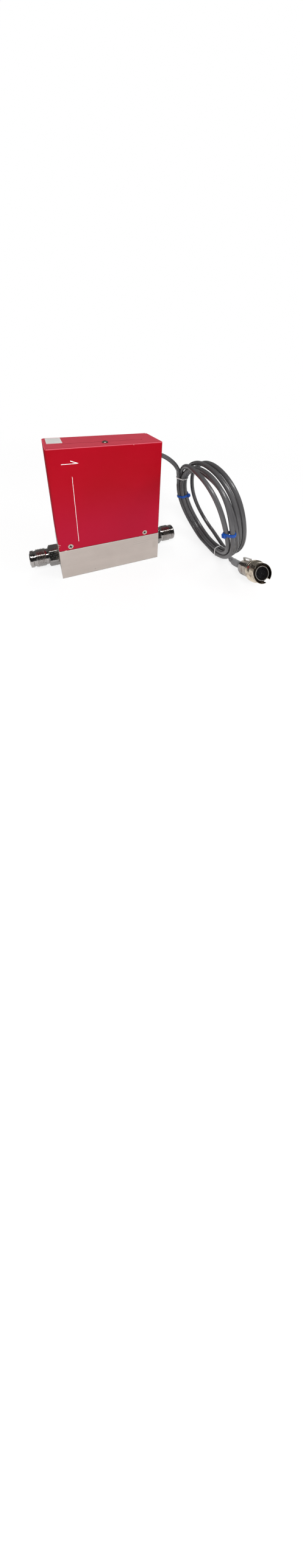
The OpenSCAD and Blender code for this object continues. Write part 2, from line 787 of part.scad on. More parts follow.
module plug_backshell() {
    color("tan") at_plug() difference() {
        union() {
            translate([0, 0, ring_rear - 4.4]) cylinder(r1 = back_r1, r2 = 12, h = 4);
            translate([0, 0, backshell_rear]) cylinder(r1 = back_r0, r2 = back_r1, h = back_l);
        }
        translate([0, 0, shell_rear]) cylinder(r = shell_body_r, h = 20);
        translate([0, 0, backshell_rear + 2]) cylinder(r = 7, h = 20);
        translate([0, 0, backshell_rear - 1]) cylinder(r = cable_r, h = 10);
        at_clamp_screws() cylinder(r = clamp_screw_r, h = 4);
    }
}

// radius of the backshell's cone at a height
function cone_r(z) = back_r0 + (back_r1 - back_r0) * (z - backshell_rear) / back_l;

// tips of the two screws that clamp the backshell on the shell, their axes outwards
module at_clamp_screws() {
    for (a = clamp_turns) rotate(a) translate([shell_body_r + 0.05, 0, clamp_z]) rotate([0, 90, 0]) children();
}

// strap that bridges the backshell above its rear half
module strain_clamp() {
    color("dimgray") at_plug() rotate(90) {
        for (z = [strap_z[0], strap_z[1] - strap_t]) let (r = cone_r(z + strap_t) + 0.03)
            translate([r, -strap_w / 2, z]) cube([strap_r + strap_t - r, strap_w, strap_t]);
        translate([strap_r, -strap_w / 2, strap_z[0]]) cube([strap_t, strap_w, strap_z[1] - strap_z[0]]);
    }
}

module clamp_screws() {
    color("silver") at_plug() at_clamp_screws() difference() {
        cylinder(r = clamp_screw_r, h = clamp_screw_l);
        translate([0, 0, clamp_screw_l - 0.6]) cylinder(r = clamp_screw_r / 2, h = 1, $fn = 6);
    }
}

module plug_label() {
    color("white") at_plug() translate([0, 0, backshell_rear + 0.3]) rotate(150)
        rotate_extrude(angle = 150) translate([backshell_r + 0.15, 0]) square([0.2, 4.5]);
}

base_block();
inlet_fitting();
outlet_fitting();
port_gaskets();
bypass_element();
sensor_base();
sensor_gaskets();
sensor_tube();
sensor_windings();
sensor_can();
sensor_screws();
valve_seat();
diaphragm();
valve_gasket();
valve_body();
valve_screws();
push_button();
piezo_stack();
actuator_tube();
actuator_cap();
bracket();
bracket_screws();
board_standoffs();
board_screws();
control_board();
board_chips();
board_header();
inner_cable();
front_cover();
rear_cover();
front_cover_screws();
rear_cover_screws();
top_screw();
rating_label();
top_label();
cable_grommet();
cable_lead();
cable_coil();
cable_tail();
cable_sleeve();
white_tie_top();
white_tie_bottom();
blue_tie_left();
blue_tie_right();
plug_shell();
plug_insert();
plug_contacts();
coupling_ring();
spring_washer();
plug_backshell();
strain_clamp();
clamp_screws();
plug_label();
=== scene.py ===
# %% [markdown]
# # A mass flow controller with its coiled cable
# A mass flow controller meters gas: a steel flow block carries the sensor and the valve under a painted
# cover, and one cable feeds it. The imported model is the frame, so its nodes stay where they are and get
# their finish here. The ports, the top screw, the cable, its ties and its sleeve are modelled again with
# the detail that shows up close.

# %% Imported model
import json
from functools import reduce
from math import cos, hypot, pi, radians, sin

import bpy
import numpy as np
from mathutils import Matrix, Vector

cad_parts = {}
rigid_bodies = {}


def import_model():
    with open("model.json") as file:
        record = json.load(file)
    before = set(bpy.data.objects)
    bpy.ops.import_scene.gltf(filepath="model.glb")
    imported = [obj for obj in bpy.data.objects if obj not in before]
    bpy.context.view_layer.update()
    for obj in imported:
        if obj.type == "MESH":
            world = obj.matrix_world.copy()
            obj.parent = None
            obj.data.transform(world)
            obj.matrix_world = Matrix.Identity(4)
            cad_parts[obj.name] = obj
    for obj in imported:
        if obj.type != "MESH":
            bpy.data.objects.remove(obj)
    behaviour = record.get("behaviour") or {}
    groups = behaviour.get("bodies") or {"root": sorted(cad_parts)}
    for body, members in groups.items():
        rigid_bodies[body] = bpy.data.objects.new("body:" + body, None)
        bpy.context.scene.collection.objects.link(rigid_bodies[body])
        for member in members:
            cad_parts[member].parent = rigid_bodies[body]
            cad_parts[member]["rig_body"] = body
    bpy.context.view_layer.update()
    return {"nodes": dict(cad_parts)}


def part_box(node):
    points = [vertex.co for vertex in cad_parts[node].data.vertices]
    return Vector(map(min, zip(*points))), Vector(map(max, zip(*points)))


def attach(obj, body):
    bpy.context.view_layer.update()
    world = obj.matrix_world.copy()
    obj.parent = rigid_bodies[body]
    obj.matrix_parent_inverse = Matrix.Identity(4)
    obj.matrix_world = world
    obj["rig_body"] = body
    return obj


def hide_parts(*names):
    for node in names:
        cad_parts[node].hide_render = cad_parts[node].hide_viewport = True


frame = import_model()
nodes = frame["nodes"]
MM = 0.001
BODY = "controller"
print(len(nodes), "nodes")

# %% [markdown]
# ## Camera
# The photograph is one tall strip and the object stands in its second picture. A camera that is placed by
# eye leaves every edge a little off, so this one was fitted to the corners of the cover and the block. Its
# focal length and the middle of that picture are given in the strip's own pixels, and the lens shift moves
# the view down to the strip's middle.

# %% Camera
STRIP_H = 2576
FOCAL_PX = 448.6
MIDDLE_Y_PX = 836.5
SENSOR = 36.0
CAMERA_AT = (-70.2, -302.3, 227.9)
CAMERA_TURN, CAMERA_DOWN, CAMERA_ROLL = radians(23.7), radians(26.73), radians(2.0)


def unit(v):
    """A vector over its length."""
    v = np.array(v, float)
    return v / np.linalg.norm(v)


def make_camera():
    """Turned and tipped down, then rolled; lens and shift come from the strip's pixels."""
    turn, down, roll = CAMERA_TURN, CAMERA_DOWN, CAMERA_ROLL
    forward = np.array([sin(turn) * cos(down), cos(turn) * cos(down), -sin(down)])
    right = unit(np.cross(forward, [0, 0, 1]))
    up = np.cross(right, forward)
    right, up = cos(roll) * right + sin(roll) * up, cos(roll) * up - sin(roll) * right
    data = bpy.data.cameras.new("camera")
    data.sensor_width = SENSOR
    data.lens = FOCAL_PX * SENSOR / STRIP_H
    data.shift_y = (MIDDLE_Y_PX - STRIP_H / 2) / STRIP_H
    data.clip_start, data.clip_end = 0.01, 20
    camera = bpy.data.objects.new("camera", data)
    bpy.context.scene.collection.objects.link(camera)
    turned_axes = np.column_stack([right, up, -forward, np.array(CAMERA_AT) * MM])
    camera.matrix_world = Matrix([*turned_axes.tolist(), (0, 0, 0, 1)])
    bpy.context.scene.camera = camera
    return camera


camera = make_camera()
print("lens", round(camera.data.lens, 2))

# %% [markdown]
# ## The coil's turns
# The cable is one stiff round cord: a short lead, a coil of about five turns, and a tail that ends in the
# plug. A plain spiral would look wound by a machine, while real turns cross and slip over each other. So
# each turn is an ellipse in the coil's plane, and two small tables say how far each pass lies across that
# plane and outside the ellipse, on the left and on the right.

# %% Coil's turns
# The middle, the two half widths and the directions: N across the coil's plane, E and G in it.
COIL_C = np.array([124.8, -39.1, 69.4])
COIL_A, COIL_B = 71.4, 62.8
COIL_YAW, COIL_PITCH, COIL_ROLL = radians(183.7), radians(-13), radians(134.5)
COIL_N = np.array([cos(COIL_PITCH) * cos(COIL_YAW), cos(COIL_PITCH) * sin(COIL_YAW), sin(COIL_PITCH)])
COIL_H = np.array([sin(COIL_YAW), -cos(COIL_YAW), 0])
COIL_V = np.cross(COIL_H, COIL_N)
COIL_E = cos(COIL_ROLL) * COIL_H + sin(COIL_ROLL) * COIL_V
COIL_G = sin(COIL_ROLL) * COIL_H - cos(COIL_ROLL) * COIL_V
# Angles are in degrees along the cable. Each pair is (across the plane, outside the ellipse).
FIRST, LAST, STEP = 115, 5 * 360 + 206, 5
LEFT_AT, LAST_LEFT_AT = (115, 160, 205, 240), (115, 160, 205, 222)
LEFT = [(3.5, 2.4), (0.8, -2.6), (-2.0, 2.4), (-4.8, -2.6), (-7.5, 2.4), (-18.5, -1.0)]
RIGHT_AT = (322, 355, 398)
RIGHT = [
    [(20.0, 3.0), (15.0, 2.4), (10.0, -3.4)],
    [(23.5, -2.8), (24.0, -1.0), (23.0, 2.2)],
    [(13.8, 1.5), (11.0, -2.8), (9.0, -8.6)],
    [(8.0, 0.4), (6.4, 1.0), (5.5, 1.4)],
    [(2.0, 0.8), (0.0, 1.4), (-2.0, 1.0)],
]
LAST_TOP = (5 * 360 + 76, -9.0, -3.6)
SMOOTH_DEG, SMOOTH_N = 2.0, 15
SPARE_BEFORE, SPARE_AFTER = 60, 74
BEND = (7.0, 190, 48)
FLATTER = [(2.2, 260, 36), (3.4, 76, 34), (1.3, 150, 40)]
FLOOR_Z, CABLE_REST = 2.8, 3.2


def pass_table():
    """Angle, distance across the coil's plane and distance outside the middle line, all along the cable."""
    rows = []
    for k, (left, right) in enumerate(zip(LEFT, RIGHT)):
        rows += [(360 * k + a, *left) for a in LEFT_AT]
        rows += [(360 * k + a, *place) for a, place in zip(RIGHT_AT, right)]
    rows.append(LAST_TOP)
    rows += [(360 * len(RIGHT) + a, *LEFT[-1]) for a in LAST_LEFT_AT]
    return np.array(rows, float).T


def hump(turn, height, at, width):
    """A smooth hill round an angle."""
    return height * np.exp(-((turn - at) / width) ** 2)


def coil_offsets(angles):
    """The table softened by a window, with the coil's own bend across its plane and its flatter sides."""
    at, *columns = pass_table()
    fine = np.arange(FIRST - SPARE_BEFORE, LAST + SPARE_AFTER, SMOOTH_DEG)
    window = np.hanning(2 * SMOOTH_N + 1)
    window /= window.sum()
    soft = []
    for column in columns:
        padded = np.pad(np.interp(fine, at, column), SMOOTH_N, mode="edge")
        soft.append(np.interp(angles, fine, np.convolve(padded, window, mode="valid")))
    across, out = soft
    turn = np.mod(angles, 360)
    across -= hump(turn, *BEND)
    out -= sum(hump(turn, *spot) for spot in FLATTER)
    return across, out


def coil_points(angles):
    """Middle plus cosine and sine along the ellipse's two axes; what would sink in the floor is lifted."""
    across, out = coil_offsets(angles)
    c, s = np.cos(np.radians(angles)), np.sin(np.radians(angles))
    p = (COIL_C + ((COIL_A + out) * c)[:, None] * COIL_E + ((COIL_B + out) * s)[:, None] * COIL_G
         + across[:, None] * COIL_N)
    lift = FLOOR_Z + CABLE_REST
    low = p[:, 2] < lift
    p[low, 2] = FLOOR_Z + CABLE_REST * np.exp((p[low, 2] - lift) / CABLE_REST)
    return p


coil = coil_points(np.arange(FIRST, LAST, STEP))
print("coil points", len(coil), "lowest", round(coil[:, 2].min(), 1), "mm")

# %% [markdown]
# ## The cable
# The lead and the tail aren't wound, so they are short lists of points in millimetres, the same as in the
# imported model's source. One smooth curve runs through all points, and a curve object with a round section
# is made along it, because a curve stays one open line whose length can be measured.

# %% Cable
CABLE_R = 2.75
LEAD = [(63.3, -6, 138.5), (66, -6, 138.3), (72, -6, 136.4), (78, -7, 133.2), (84, -7.5, 128.8),
        (90.5, -5.5, 123), (97, -0.5, 116), (102.5, 6, 109)]
TAIL = [(158, -42, 7.4), (156.5, -54, 5.8), (152, -65, 5.8), (149, -73, 7.2)]
SLEEVE = [(149, -73, 7.2), (147.6, -78, 8.6), (146, -88, 11.6), (146.4, -101.3, 15.8)]
CABLE_STEPS, SLEEVE_STEPS = 3, 24


def smooth_path(points, steps):
    """A Catmull-Rom curve: cubics between the points, whose slope at a point follows its neighbours."""
    p = np.array(points, float)
    p = np.vstack([2 * p[0] - p[1], p, 2 * p[-1] - p[-2]])[:, None]
    a, b, c, d = p[:-3], p[1:-2], p[2:-1], p[3:]
    u = np.linspace(0, 1, steps, endpoint=False)[:, None]
    square, cube = 2 * a - 5 * b + 4 * c - d, 3 * b - a - 3 * c + d
    curve = 0.5 * (2 * b + (c - a) * u + square * u ** 2 + cube * u ** 3)
    return np.vstack([curve.reshape(-1, 3), p[-2]])


def lengths_along(path):
    """How far along the path each of its points lies."""
    return np.r_[0, np.cumsum(np.linalg.norm(np.diff(path, axis=0), axis=1))]


def curve_object(name, points, radius):
    """A round tube along points; the radius is each point's own, so that the curve's box stays tight."""
    data = bpy.data.curves.new(name, "CURVE")
    data.dimensions = "3D"
    data.bevel_depth = 1.0
    data.bevel_resolution = 6
    data.use_fill_caps = True
    line = data.splines.new("POLY")
    line.points.add(len(points) - 1)
    line.points.foreach_set("co", np.column_stack([points, np.ones(len(points))]).ravel())
    line.points.foreach_set("radius", np.full(len(points), radius))
    line.use_smooth = True
    obj = bpy.data.objects.new(name, data)
    bpy.context.scene.collection.objects.link(obj)
    return obj


cable_line = smooth_path(np.vstack([LEAD, coil, TAIL, SLEEVE[1:]]), CABLE_STEPS)
cable = curve_object("cable", cable_line * MM, CABLE_R * MM)
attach(cable, BODY)
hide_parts("cable_lead", "cable_coil", "cable_tail")
print("cable length", round(lengths_along(cable_line)[-1]), "mm, lowest", round(cable_line[:, 2].min(), 1))

# %% [markdown]
# ## Sockets as numbers
# A finish is a sum of noise and position, which is hard to read as a web of nodes. `Wire` wraps a socket,
# so that sums, products and thresholds on it read like ordinary arithmetic and add the Math nodes
# themselves. Any other node comes from `add_node`.

# %% Sockets as numbers


def fill(tree, socket, value):
    """A link if the value is a wire, and else a fixed value."""
    if isinstance(value, Wire):
        tree.links.new(value.socket, socket)
    else:
        socket.default_value = value


def add_node(tree, kind, settings=None, sockets=None, out=0):
    """A new node's output; its settings come first, then the values or links of its sockets."""
    node = tree.nodes.new("ShaderNode" + kind)
    for key, value in (settings or {}).items():
        setattr(node, key, value)
    for key, value in (sockets or {}).items():
        fill(tree, node.inputs[key], value)
    return Wire(tree, node.outputs[out])


class Wire:
    """A socket that takes part in sums, products and comparisons."""

    def __init__(self, tree, socket):
        self.tree, self.socket = tree, socket

    def maths(self, kind, *others):
        """A Math node of that kind on this number and the others."""
        return add_node(self.tree, "Math", {"operation": kind}, dict(enumerate((self, *others))))

    def __add__(self, other):
        return self.maths("ADD", other)

    def __sub__(self, other):
        return self.maths("SUBTRACT", other)

    def __rsub__(self, other):
        return self.maths("MULTIPLY", -1.0).maths("ADD", other)

    def __mul__(self, other):
        return self.maths("MULTIPLY", other)

    def __truediv__(self, other):
        return self.maths("DIVIDE", other)

    def __pow__(self, other):
        return self.maths("POWER", other)

    def __gt__(self, other):
        return self.maths("GREATER_THAN", other)

    def __lt__(self, other):
        return self.maths("LESS_THAN", other)

    def __abs__(self):
        return self.maths("ABSOLUTE")

    __radd__ = __add__
    __rmul__ = __mul__

    def most(self, other):
        """The greater of the two, which is `or` for masks."""
        return self.maths("MAXIMUM", other)

    def step(self, low, high):
        """0 below low, 1 above high and smooth between them."""
        values = {"Value": self, "From Min": low, "From Max": high}
        return add_node(self.tree, "MapRange", {"interpolation_type": "SMOOTHSTEP"}, values)

    def split(self):
        """The three numbers of a vector."""
        node = add_node(self.tree, "SeparateXYZ", sockets={0: self}).socket.node
        return [Wire(self.tree, out) for out in node.outputs]


def rgba(color):
    """A colour as a socket takes it; a wire stays a wire."""
    return color if isinstance(color, Wire) else (*color, 1.0)


print("shader maths ready")

# %% [markdown]
# ## Materials
# A `Look` is one material with its main shader. It reads the point on the object, which stays the same
# however the piece is turned, and it offers what a finish is made of: noise, a mix of two colours and a
# bump.

# %% Materials


class Look:
    """One material with its main shader."""

    def __init__(self, name, color, roughness=0.5, metallic=0.0, specular=0.5):
        self.material = bpy.data.materials.new(name)
        self.material.use_nodes = True
        self.material.diffuse_color = rgba(color)
        self.tree = self.material.node_tree
        self.shader = self.tree.nodes["Principled BSDF"]
        self.set("Base Color", rgba(color))
        self.set("Roughness", roughness)
        self.set("Metallic", metallic)
        self.set("Specular IOR Level", specular)

    def set(self, name, value):
        """Gives one of the main shader's sockets its value or link."""
        fill(self.tree, self.shader.inputs[name], value)

    def point(self):
        """The point on the object, in metres."""
        return add_node(self.tree, "TexCoord", out="Object")

    def place(self):
        """The three numbers of the point on the object, in millimetres."""
        return [v * (1 / MM) for v in self.point().split()]

    def noise(self, scale, stretch=(1, 1, 1), detail=3.0, roughness=0.5):
        """Noise from 0 to 1, that many bumps in a metre; a factor below 1 draws them out along its axis."""
        mapped = add_node(self.tree, "Mapping", sockets={"Vector": self.point(), "Scale": stretch})
        values = {"Vector": mapped, "Scale": scale, "Detail": detail, "Roughness": roughness}
        return add_node(self.tree, "TexNoise", sockets=values)

    def mix(self, share, a, b):
        """Colour a where the share is 0 and colour b where it is 1."""
        return add_node(self.tree, "Mix", {"data_type": "RGBA"}, {0: share, 6: rgba(a), 7: rgba(b)}, out=2)

    def bump(self, height, depth_mm, strength=1.0):
        """Tilts the surface's normal by the slope of a height."""
        values = {"Height": height, "Distance": depth_mm * MM, "Strength": strength}
        self.set("Normal", add_node(self.tree, "Bump", sockets=values))


def ellipse(u, v, spot):
    """Below 1 inside an ellipse given by its middle and its two half widths."""
    cu, cv, wide, tall = spot
    return ((u - cu) / wide) ** 2.0 + ((v - cv) / tall) ** 2.0


def put(look, *names):
    """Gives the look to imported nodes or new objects."""
    for name in names:
        obj = nodes[name] if name in nodes else bpy.data.objects[name]
        obj.data.materials.clear()
        obj.data.materials.append(look.material)


print("materials ready")

# %% [markdown]
# ## Painted sheet
# The cover is bent sheet steel in crimson stoving enamel, with a very fine orange peel. Its paint is paler
# and pinker towards the bottom, a painted reflection of the white floor, and its top is dusty with a
# painted sheen. Painted highlights lie on the top's bends, and a painted shadow lies along the front's
# lower edge. It is chipped in a few places, and a flow mark and a rule are printed on the front. All of it
# is worked out from the point on the object, so it stays sharp at any distance and needs no image.

# %% Painted sheet
cover_low, cover_high = ([round(v / MM, 1) for v in corner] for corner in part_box("front_cover"))
HALF_W, HALF_D = cover_high[0], -cover_low[1]
COVER_Z0, COVER_Z1 = cover_low[2], cover_high[2]
ARROW = {"tail": -49.0, "tip": -32.5, "z": 142.0, "barb": -39.6, "rise": 3.0, "line": 0.3, "edge": 0.45}
RULE = {"x": -39.4, "z0": 49.0, "z1": 128.0, "half": 0.2}
INK = (0.82, 0.78, 0.78)
# Each chip is (x, z, half its width, half its height).
CHIPS = [(28, 157.1, 0.35, 0.45), (-60.8, 47.6, 1.3, 0.3), (-62.0, 45.4, 0.7, 0.4), (61.7, 44.8, 0.7, 0.45),
         (-55, 39.3, 1.4, 0.3)]
PRIMER = (0.72, 0.46, 0.4)
SEAM_Y, SEAM_X, SEAM_HALF = -6, 44, 0.4
EDGE_MM = (0.9, 0.1)
SHADE_H, SKIN = 0.65, 0.3
REFLECTION_FADE_FROM, REFLECTION_FADE_TO = 50, 130
DUST_AND_SHEEN_FROM, DUST_AND_SHEEN_TO = -HALF_D - 5, -HALF_D + 6


def printed(x, y, z):
    """1 where the flow mark and the rule are printed on the front."""
    shaft = (abs(z - ARROW["z"]) < ARROW["line"]) * (x > ARROW["tail"]) * (x < ARROW["tip"])
    slope = ARROW["rise"] / (ARROW["tip"] - ARROW["barb"])
    edge = (ARROW["tip"] - x) * slope + ARROW["z"]
    barb = (z < edge + ARROW["edge"]) * (z > edge - ARROW["edge"]) * (z > ARROW["z"]) * (x > ARROW["barb"])
    rule = (abs(x - RULE["x"]) < RULE["half"]) * (z > RULE["z0"]) * (z < RULE["z1"])
    return shaft.most(barb).most(rule) * (y < -HALF_D + 0.6)


def make_paint():
    """Red; a painted floor reflection low down, painted sheen on the dusty top, a painted shadow at the
    lower edge, painted bend highlights, a dark seam, chips, print.
    """
    look = Look("red_paint", (0.46, 0.006, 0.016), roughness=0.42, specular=0.16)
    x, y, z = look.place()
    cloud = look.noise(14, detail=4)
    grain = look.noise(1800, detail=2)
    worn = look.noise(260, detail=5, roughness=0.7)
    upper = look.mix(cloud.step(0.3, 0.75), (0.32, 0.0002, 0.006), (0.362, 0.0004, 0.010))
    # Paler and pinker towards the bottom: a painted reflection of the white floor in front.
    red = look.mix(z.step(REFLECTION_FADE_FROM, REFLECTION_FADE_TO), (0.35, 0.0032, 0.023), upper)
    # A painted shadow along the front's lower edge, where the cover meets the block.
    shade = (z < COVER_Z0 + SHADE_H) * (y < 0)
    red = look.mix(shade, red, (0.07, 0.001, 0.004))
    # The top is paler: real dust together with a painted sheen, fainter near its front edge.
    dust_and_sheen = z.step(COVER_Z1 - 0.4, COVER_Z1 - 0.05) * (cloud * 0.4 + 0.75) * y.step(DUST_AND_SHEEN_FROM, DUST_AND_SHEEN_TO)
    red = look.mix(dust_and_sheen, red, (0.44, 0.038, 0.06))
    seam = (abs(y - SEAM_Y) < SEAM_HALF) * (abs(x) < SEAM_X) * (z > COVER_Z1 - SKIN)
    red = look.mix(seam, red, (0.17, 0.004, 0.012))
    edge_x, edge_y, edge_z = (v.step(at - EDGE_MM[0], at - EDGE_MM[1])
                              for v, at in ((abs(x), HALF_W), (abs(y), HALF_D), (z, COVER_Z1)))
    # A painted highlight on the top's bends, fainter on the sides.
    rim = (edge_x * edge_z * 0.45).most(edge_y * edge_z)
    red = look.mix(rim * 0.75, red, (0.78, 0.17, 0.23))
    chip = (edge_x * edge_y).most(rim) * (worn > 0.75)
    for spot in CHIPS:
        chip = chip.most((ellipse(x, z, spot) + (worn - 0.5) * 1.6 < 1.0) * (y < -HALF_D + 1.5))
    red = look.mix(printed(x, y, z), red, INK)
    look.set("Base Color", look.mix(chip, red, PRIMER))
    look.set("Metallic", chip * 0.4)
    look.set("Roughness", cloud * 0.12 + grain * 0.1 + abs(x).step(HALF_W - 1.5, HALF_W) * 0.5 + 0.32)
    look.bump(grain * 0.6 + cloud * 0.4 - chip * 3.0, 0.02, 0.5)
    return look


put(make_paint(), "front_cover", "rear_cover")
print("paint on the covers")

# %% [markdown]
# ## Brushed block
# The flow block is cut from steel bar and brushed along its length. The brush marks are far finer than a
# pixel, so instead of grooves in the mesh they are noise that is stretched along x. Longer lines, a stain,
# a pit and a painted highlight along the upper edge keep the large plain faces from looking like grey card.

# %% Brushed block
STAIN, PIT = (57, 22, 4, 9), (-23, 4, 0.7, 0.6)


def make_block_steel():
    """Brushed steel with lines, a stain and a pit, a painted highlight at its upper edge, darker at the
    lower one.
    """
    look = Look("block_steel", (0.6, 0.55, 0.51), metallic=0.6, roughness=0.4)
    fine = look.noise(900, stretch=(0.05, 1, 1), detail=4, roughness=0.65)
    broad = look.noise(70, stretch=(0.15, 1, 1.6), detail=3)
    patch = look.noise(26, detail=4, roughness=0.6)
    line = look.noise(420, stretch=(0.025, 1, 1), detail=2)
    x, y, z = look.place()
    tone = fine * 0.15 + broad * 0.25 + patch * 0.6
    steel = look.mix(tone.step(0.3, 0.7), (0.525, 0.465, 0.425), (0.6, 0.535, 0.49))
    steel = look.mix((line > 0.67) * (patch > 0.48) * 0.3, steel, (0.33, 0.29, 0.27))
    stain = 1.0 - (ellipse(x, z, STAIN) + (patch - 0.5) * 3.0).step(-0.6, 1.3)
    steel = look.mix(stain * 0.3, steel, (0.36, 0.3, 0.24))
    steel = look.mix((ellipse(x, z, PIT) < 1.0) * (y < 0) * 0.6, steel, (0.2, 0.17, 0.16))
    # A painted highlight along the block's upper edge, just under the cover.
    edge = z.step(COVER_Z0 - 1.0, COVER_Z0 - 0.3) * (z < COVER_Z0 + 0.2)
    steel = look.mix(edge * 0.7, steel, (0.86, 0.83, 0.78))
    # Darker along the bottom edge.
    look.set("Base Color", look.mix((z < 0.8) * 0.35, steel, (0.36, 0.33, 0.34)))
    look.set("Roughness", fine * 0.1 + patch * 0.12 + 0.34)
    look.bump(fine, 0.006, 0.3)
    return look


put(make_block_steel(), "base_block")
print("block brushed")

# %% [markdown]
# ## Plain metals
# Most of the other metal is turned or plated and differs only in colour and gloss. A metal of one colour
# and one gloss looks like a drawing of metal, so one recipe mixes a fine grain into the gloss and broad
# smears into the colour, and serves them all.

# %% Plain metals


def make_steel(name, color, roughness, scale=400, spread=0.12, metallic=1.0):
    """A plain metal with a fine random grain and faint smears."""
    look = Look(name, color, roughness, metallic)
    grain = look.noise(scale, detail=3)
    smear = look.noise(scale / 12, detail=3)
    light = tuple(min(1.0, c * 1.12) for c in color)
    dark = tuple(c * 0.84 for c in color)
    look.set("Base Color", look.mix(smear.step(0.3, 0.7), dark, light))
    look.set("Roughness", grain * spread + smear * spread + (roughness - spread))
    look.bump(grain, 0.01, 0.35)
    return look


stainless = make_steel("stainless", (0.62, 0.61, 0.6), 0.34)
dark_steel = make_steel("dark_steel", (0.1, 0.1, 0.1), 0.42)
put(stainless, "port_gaskets", "bypass_element", "sensor_base", "sensor_tube", "valve_seat", "diaphragm",
    "valve_gasket", "valve_body", "push_button", "actuator_tube", "bracket", "spring_washer", "sensor_can")
put(dark_steel, "sensor_screws", "valve_screws", "actuator_cap", "bracket_screws", "board_screws",
    "top_screw")
put(make_steel("winding", (0.62, 0.27, 0.1), 0.35, 2200), "sensor_windings")
put(make_steel("gold_plate", (0.8, 0.58, 0.25), 0.26), "board_standoffs")
put(make_steel("socket_metal", (0.3, 0.32, 0.36), 0.4), "plug_contacts")
print("plain metals done")

# %% [markdown]
# ## Plated plug
# The bayonet plug is nickel plated: warm, worn where it is handled, and darker inside with painted shade.
# That shade could be painted face by face, but the distance from the plug's tilted axis tells inside from
# outside, also on the ring that turns round that axis.

# %% Plated plug
PLUG_AT = (141, -133, 32)
PLUG_TILT, PLUG_TURN = radians(63), radians(-9.7)
PLUG_AXIS = (sin(PLUG_TILT) * sin(PLUG_TURN), -sin(PLUG_TILT) * cos(PLUG_TURN), cos(PLUG_TILT))
SHELL_MOUTH, SHELL_FACE, RING_INSIDE = 7.8, -1.2, 11.0
SHELL_COLOR = (0.8, 0.77, 0.72)
RING_COLORS = [(0.44, 0.35, 0.27), (0.94, 0.84, 0.68), (0.84, 0.7, 0.48)]
BACK_COLORS = [(0.36, 0.29, 0.24), (0.72, 0.65, 0.57), (0.6, 0.5, 0.4)]


def plug_place(look):
    """How far along the plug's axis, and the square of how far from it."""
    gaps = [v - at for v, at in zip(look.place(), PLUG_AT)]
    along = sum(v * a for v, a in zip(gaps, PLUG_AXIS))
    return along, sum(v ** 2.0 for v in gaps) - along ** 2.0


def make_nickel(name, dark, light, tint, inside=0):
    """Warm worn plating with smears and stains, with painted shade within a radius round the plug's axis.
    """
    look = Look(name, light, metallic=1.0, roughness=0.3)
    grain = look.noise(700, detail=3)
    smear = look.noise(160, detail=4, roughness=0.65)
    stain = look.noise(60, detail=3)
    worn = look.mix(smear.step(0.3, 0.6), dark, light)
    tone = look.mix(stain.step(0.45, 0.8), worn, tint)
    if inside:
        radial = plug_place(look)[1]
        # Painted shade on the ring's inside, within that radius round the plug's axis.
        tone = look.mix((radial < inside ** 2) * (smear * 0.3 + 0.7), tone, (0.1, 0.085, 0.07))
    look.set("Base Color", tone)
    look.set("Roughness", grain * 0.08 + smear * 0.12 + 0.1)
    look.bump(grain * 0.5 + smear * 0.5, 0.012, 0.5)
    return look


def make_shell_nickel():
    """Duller plating, bright on the mouth's rim, with painted shade behind it and beside the insert."""
    look = make_steel("shell_nickel", SHELL_COLOR, 0.34, 700, metallic=0.75)
    along, radial = plug_place(look)
    # Painted shade on the shell behind the mouth's rim.
    bright = look.mix(along < SHELL_FACE, SHELL_COLOR, (0.22, 0.16, 0.12))
    # Painted shade beside the insert, inside the mouth.
    look.set("Base Color", look.mix(radial < SHELL_MOUTH ** 2, bright, (0.07, 0.06, 0.055)))
    return look


put(make_nickel("plug_nickel", *BACK_COLORS), "plug_backshell")
put(make_nickel("ring_nickel", *RING_COLORS, inside=RING_INSIDE), "coupling_ring")
put(make_shell_nickel(), "plug_shell")
put(make_steel("strap_steel", SHELL_COLOR, 0.34, 700, metallic=0.75), "strain_clamp")
print("plug plated")

# %% [markdown]
# ## Screw heads
# The covers are held by plated screws with a cross recess. A recess is a few pixels wide, so its shade is
# painted as a dark cross in the head's plane, turned another way in front than behind, as real screws end
# up.

# %% Screw heads
SCREW_XS, SCREW_Z = (-49, 43), 43.7
RECESS_R, RECESS_W = 1.8, 0.45
RECESS_TURNS = {"front": radians(24), "rear": radians(61)}


def make_screw_steel():
    """Plated screw heads; the shade in each cross recess is painted dark."""
    look = make_steel("screw_steel", (0.74, 0.7, 0.62), 0.3, 900)
    x, y, z = look.place()
    crosses = []
    for cx in SCREW_XS:
        for side, turn in ((y < 0, RECESS_TURNS["front"]), (y > 0, RECESS_TURNS["rear"])):
            u = abs((x - cx) * cos(turn) + (z - SCREW_Z) * sin(turn))
            v = abs((z - SCREW_Z) * cos(turn) - (x - cx) * sin(turn))
            crosses.append((u.most(v) < RECESS_R) * ((u < RECESS_W).most(v < RECESS_W)) * side)
    # The crosses are the recesses' painted shade.
    dark = reduce(Wire.most, crosses)
    smear = look.noise(75, detail=3)
    head = look.mix(smear.step(0.3, 0.7), (0.62, 0.57, 0.5), (0.82, 0.78, 0.7))
    look.set("Base Color", look.mix(dark, head, (0.012, 0.01, 0.008)))
    look.set("Roughness", dark * 0.5 + smear * 0.1 + 0.25)
    return look


put(make_screw_steel(), "front_cover_screws", "rear_cover_screws", "clamp_screws")
print("screw heads done")

# %% [markdown]
# ## Cable jacket
# The jacket is grey plastic that has been handled: it has a soft shine, its shade drifts along its length,
# and pale scuffs lie on it. The bump is very low, because a smooth cable has clear highlights.

# %% Cable jacket


